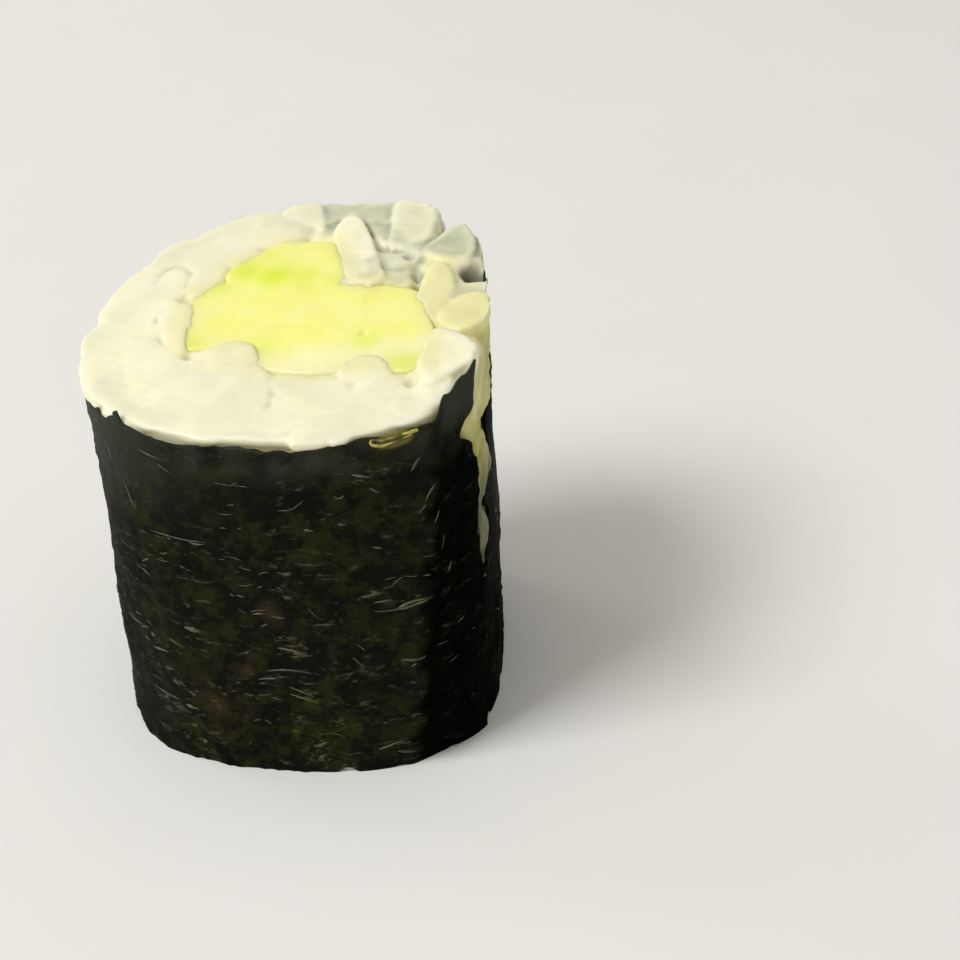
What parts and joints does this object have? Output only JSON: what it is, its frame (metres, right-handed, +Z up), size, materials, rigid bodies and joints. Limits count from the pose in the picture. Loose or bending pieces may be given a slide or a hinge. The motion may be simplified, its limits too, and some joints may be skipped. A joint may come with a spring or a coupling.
{
  "type": "cucumber maki roll",
  "caption": "Cut piece of a thin sushi roll: nori sheet round packed rice with raw cucumber sticks, standing on its cut face.",
  "frame": {"origin": "centre of the piece's footprint, on the surface it stands on", "axes": "+Z up along the roll from the lower cut to the upper one; +Y towards the taller side of the slanting upper cut; -Y towards the viewer; the gap between the nori's ends faces +X and -Y"},
  "size_m": [0.0264, 0.0264, 0.0299],
  "materials": {
    "nori": "damp seaweed sheet, dark green-black, satin with small bright glints",
    "rice": "cooked short-grain rice, creamy white, moist and slightly translucent",
    "cucumber": "raw peeled cucumber flesh, pale yellow-green, wet and translucent"
  },
  "bodies": {
    "root": {"nori": "nori", "rice": "rice", "cucumber_back": "cucumber", "cucumber_left": "cucumber", "cucumber_right": "cucumber", "cucumber_front": "cucumber"}
  },
  "joints": []
}
